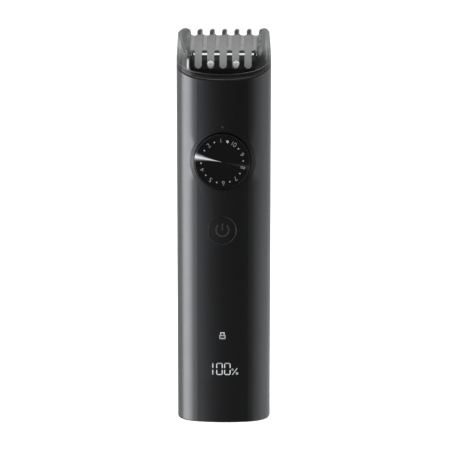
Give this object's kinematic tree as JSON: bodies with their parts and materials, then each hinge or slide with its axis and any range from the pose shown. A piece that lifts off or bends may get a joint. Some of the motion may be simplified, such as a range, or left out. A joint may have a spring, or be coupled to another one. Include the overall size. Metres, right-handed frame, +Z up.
{
  "type": "beard trimmer",
  "caption": "Slim cordless beard trimmer: oval graphite tube, zoom dial that lifts a clear guide comb, push button, lit charge display and a T-shaped blade head.",
  "frame": {"origin": "middle of the flat base, in the mouth of the charging socket", "axes": "+Z up along the tube towards the comb, -Y out of the side with the dial and button, +X to the right seen from that side"},
  "size_m": [0.0404, 0.0377, 0.1666],
  "materials": {
    "graphite_shell": "satin metallic finish",
    "black_gloss": "gloss",
    "black_matte": "fine matt",
    "smoke_clear": "clear smoked plastic, gloss",
    "spun_metal": "spun, concentric",
    "knob_metal": "satin, serrated",
    "bright_steel": "ground",
    "rubber_black": "matt",
    "light_pipe": "clear, lit from behind",
    "symbol_grey": "printed grey",
    "frame_plastic": "moulded",
    "white_plastic": "moulded white",
    "board_green": "solder mask",
    "chip_black": "moulded package",
    "cell_wrap": "shrink wrap over can",
    "nickel": "plated",
    "zinc_screw": "plated screw",
    "white_acetal": "low-friction moulding",
    "red_lead": "insulation",
    "black_lead": "insulation"
  },
  "bodies": {
    "case": {"base_cap": "black_matte", "base_screws": "zinc_screw", "base_seal": "rubber_black", "battery_cell": "cell_wrap", "battery_tabs": "nickel", "blade_cover": "black_gloss", "blade_spring": "bright_steel", "board_components": "chip_black", "button_seal": "rubber_black", "charge_board": "board_green", "detent_spring": "bright_steel", "dial_bush": "white_acetal", "dial_seal": "rubber_black", "display_digits": "light_pipe", "display_lamps": "white_plastic", "display_reflector": "white_plastic", "fixed_blade": "bright_steel", "head_base": "black_gloss", "head_gaskets": "rubber_black", "head_rear_cover": "black_gloss", "head_screws": "bright_steel", "housing": "graphite_shell", "inner_frame": "frame_plastic", "lock_symbol": "light_pipe", "main_board": "board_green", "motor_can": "nickel", "motor_end_cap": "white_acetal", "motor_lead_black": "black_lead", "motor_lead_red": "red_lead", "motor_screws": "zinc_screw", "motor_terminals": "nickel", "rim_trim": "black_matte", "tact_switch": "chip_black", "usb_shell": "nickel", "usb_tongue": "chip_black"},
    "dial": {"dial_knob": "knob_metal", "dial_disc": "spun_metal", "dial_shaft": "bright_steel", "dial_cam": "white_acetal", "dial_screw": "zinc_screw"},
    "carriage": {"lift_carriage": "frame_plastic", "follower_pin": "bright_steel"},
    "comb": {"comb": "smoke_clear"},
    "button": {"power_button": "graphite_shell", "power_symbol": "symbol_grey"},
    "plunger": {"switch_plunger": "white_acetal"},
    "rotor": {"motor_shaft": "bright_steel", "eccentric": "white_acetal", "eccentric_pin": "bright_steel"},
    "cutter": {"moving_blade": "bright_steel", "cutter_yoke": "white_acetal"}
  },
  "joints": [
    {"name": "dial_turn", "type": "hinge", "parent": "case", "child": "dial", "pos_m": [0, -0.0153, 0.1118], "axis": [0, 1, 0], "range_deg": [-14.75, 327.25], "deforming": ["detent_spring"]},
    {"name": "comb_lift", "type": "slide", "parent": "case", "child": "carriage", "axis": [0, 0, 1], "range_m": [-0.00041, 0.0091]},
    {"name": "comb_detach", "type": "slide", "parent": "carriage", "child": "comb", "axis": [0, 0, 1], "range_m": [0, 0.03]},
    {"name": "button_press", "type": "slide", "parent": "case", "child": "button", "axis": [0, 1, 0], "range_m": [0, 0.0004]},
    {"name": "switch_press", "type": "slide", "parent": "case", "child": "plunger", "axis": [0, 1, 0], "range_m": [0, 0.0004]},
    {"name": "motor_spin", "type": "hinge", "parent": "case", "child": "rotor", "pos_m": [0, 0.0045, 0.12], "axis": [0, 0, 1], "continuous": true},
    {"name": "cutter_slide", "type": "slide", "parent": "case", "child": "cutter", "axis": [1, 0, 0], "range_m": [-0.0008, 0.0008]}
  ],
  "couplings": [
    {"joint": "comb_lift", "follows": "dial_turn", "m_per_rad": 0.0015915},
    {"joint": "switch_press", "follows": "button_press", "ratio": 1}
  ]
}
